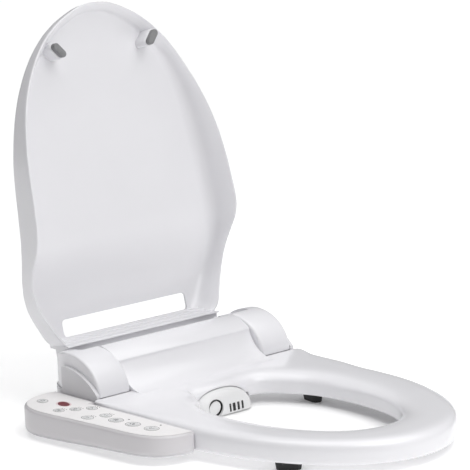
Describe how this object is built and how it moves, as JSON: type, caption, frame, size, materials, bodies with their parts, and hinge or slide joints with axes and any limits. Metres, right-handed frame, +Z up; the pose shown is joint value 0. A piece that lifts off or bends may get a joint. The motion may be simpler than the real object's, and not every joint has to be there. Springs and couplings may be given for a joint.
{
  "type": "electric bidet seat",
  "caption": "Elongated electric bidet seat with an open hinged lid, a heated hinged seat, a side control arm with press keys, a sliding wash nozzle and a warm-air outlet.",
  "frame": {"origin": "midway between the two bowl-bolt slots, on the underside of the mounting plate", "axes": "-Y is the front of the seat, +Z is up, -X is the side with the control arm; the hinge axis runs along X above the origin"},
  "size_m": [0.434, 0.6069, 0.5154],
  "materials": {
    "white_plastic": "glossy white moulding",
    "white_plastic_matte": "satin white moulding",
    "grey_plastic": "satin light grey moulding",
    "arm_plastic": "light grey moulding with a faint lilac cast",
    "panel_film": "fine-textured warm light grey film",
    "stop_red": "dark red key",
    "key_grey": "grey key tops",
    "rubber_black": "black rubber",
    "rubber_grey": "grey rubber",
    "steel": "plain steel",
    "black_plastic": "black engineering plastic",
    "gear_plastic": "natural acetal",
    "duct_plastic": "heat-proof grey plastic",
    "heater_metal": "heater steel",
    "heater_film": "foil heater",
    "inlet_brass": "turned brass",
    "pcb_green": "circuit board",
    "component_dark": "moulded components"
  },
  "bodies": {
    "base": {"base_lower_housing": "grey_plastic", "base_upper_cover": "white_plastic", "center_cover": "white_plastic", "mounting_plate": "grey_plastic", "hinge_brackets": "steel", "lid_damper": "black_plastic", "seat_damper": "black_plastic", "inlet_connector": "inlet_brass", "cord_gland": "rubber_black", "water_tank": "duct_plastic", "tank_heater": "heater_metal", "solenoid_valve": "black_plastic", "main_pcb": "pcb_green", "pcb_components": "component_dark", "nozzle_guide": "black_plastic", "nozzle_motor": "steel", "nozzle_hood": "white_plastic", "dryer_grille": "white_plastic_matte", "dryer_fan_scroll": "black_plastic", "dryer_fan_motor": "steel", "dryer_duct": "duct_plastic", "dryer_heater": "heater_metal", "internal_hoses": "rubber_black", "control_arm_housing": "arm_plastic", "arm_lower_cover": "grey_plastic", "arm_screws": "steel", "base_screws": "steel", "panel_overlay": "panel_film", "panel_pcb": "pcb_green", "tact_switches": "black_plastic"},
    "lid": {"lid_shell": "white_plastic", "lid_bumpers": "rubber_grey", "lid_hinge_pins": "steel"},
    "seat": {"seat_top_shell": "white_plastic", "seat_bottom_cover": "white_plastic_matte", "seat_heater": "heater_film", "seat_feet": "rubber_black", "seat_hinge_pins": "steel"},
    "nozzle": {"wash_nozzle": "gear_plastic", "nozzle_cap": "white_plastic_matte"},
    "pinion": {"nozzle_pinion": "gear_plastic"},
    "impeller": {"dryer_impeller": "black_plastic"},
    "release": {"release_button": "grey_plastic"},
    "key_stop": {"stop_button": "stop_red"},
    "key_power": {"power_button": "key_grey"},
    "key_seat_heat": {"seat_heat_button": "key_grey"},
    "key_water_heat": {"water_heat_button": "key_grey"},
    "key_nozzle_clean": {"nozzle_clean_button": "key_grey"},
    "key_position": {"position_button": "key_grey"},
    "key_pressure": {"pressure_button": "key_grey"},
    "key_dry": {"dry_button": "key_grey"},
    "key_bidet": {"bidet_button": "key_grey"},
    "key_wash": {"wash_button": "key_grey"}
  },
  "joints": [
    {"name": "lid_hinge", "type": "hinge", "parent": "base", "child": "lid", "pos_m": [0, 0, 0.042], "axis": [1, 0, 0], "range_deg": [0, 102.5]},
    {"name": "seat_hinge", "type": "hinge", "parent": "base", "child": "seat", "pos_m": [0, 0, 0.042], "axis": [1, 0, 0], "range_deg": [-95, 0]},
    {"name": "nozzle_slide", "type": "slide", "parent": "base", "child": "nozzle", "axis": [0, -0.9877, -0.1564], "range_m": [0, 0.07]},
    {"name": "pinion_spin", "type": "hinge", "parent": "base", "child": "pinion", "pos_m": [-0.0125, -0.04256, 0.02595], "axis": [0, -0.1564, 0.9877], "range_deg": [-10, 515]},
    {"name": "impeller_spin", "type": "hinge", "parent": "base", "child": "impeller", "pos_m": [0.055, 0.002, 0.0595], "axis": [1, 0, 0], "continuous": true},
    {"name": "release_press", "type": "slide", "parent": "base", "child": "release", "axis": [-1, 0, 0], "range_m": [0, 0.004], "stiffness_N_per_m": 300, "springref_m": -0.001},
    {"name": "key_stop_press", "type": "slide", "parent": "base", "child": "key_stop", "axis": [0, 0, -1], "range_m": [0, 0.0006], "stiffness_N_per_m": 400, "springref_m": -0.001},
    {"name": "key_power_press", "type": "slide", "parent": "base", "child": "key_power", "axis": [0, 0, -1], "range_m": [0, 0.0006], "stiffness_N_per_m": 400, "springref_m": -0.001},
    {"name": "key_seat_heat_press", "type": "slide", "parent": "base", "child": "key_seat_heat", "axis": [0, 0, -1], "range_m": [0, 0.0006], "stiffness_N_per_m": 400, "springref_m": -0.001},
    {"name": "key_water_heat_press", "type": "slide", "parent": "base", "child": "key_water_heat", "axis": [0, 0, -1], "range_m": [0, 0.0006], "stiffness_N_per_m": 400, "springref_m": -0.001},
    {"name": "key_nozzle_clean_press", "type": "slide", "parent": "base", "child": "key_nozzle_clean", "axis": [0, 0, -1], "range_m": [0, 0.0006], "stiffness_N_per_m": 400, "springref_m": -0.001},
    {"name": "key_position_press", "type": "slide", "parent": "base", "child": "key_position", "axis": [0, 0, -1], "range_m": [0, 0.0006], "stiffness_N_per_m": 400, "springref_m": -0.001},
    {"name": "key_pressure_press", "type": "slide", "parent": "base", "child": "key_pressure", "axis": [0, 0, -1], "range_m": [0, 0.0006], "stiffness_N_per_m": 400, "springref_m": -0.001},
    {"name": "key_dry_press", "type": "slide", "parent": "base", "child": "key_dry", "axis": [0, 0, -1], "range_m": [0, 0.0006], "stiffness_N_per_m": 400, "springref_m": -0.001},
    {"name": "key_bidet_press", "type": "slide", "parent": "base", "child": "key_bidet", "axis": [0, 0, -1], "range_m": [0, 0.0006], "stiffness_N_per_m": 400, "springref_m": -0.001},
    {"name": "key_wash_press", "type": "slide", "parent": "base", "child": "key_wash", "axis": [0, 0, -1], "range_m": [0, 0.0006], "stiffness_N_per_m": 400, "springref_m": -0.001}
  ],
  "couplings": [
    {"joint": "pinion_spin", "follows": "nozzle_slide", "rad_per_m": 125}
  ]
}
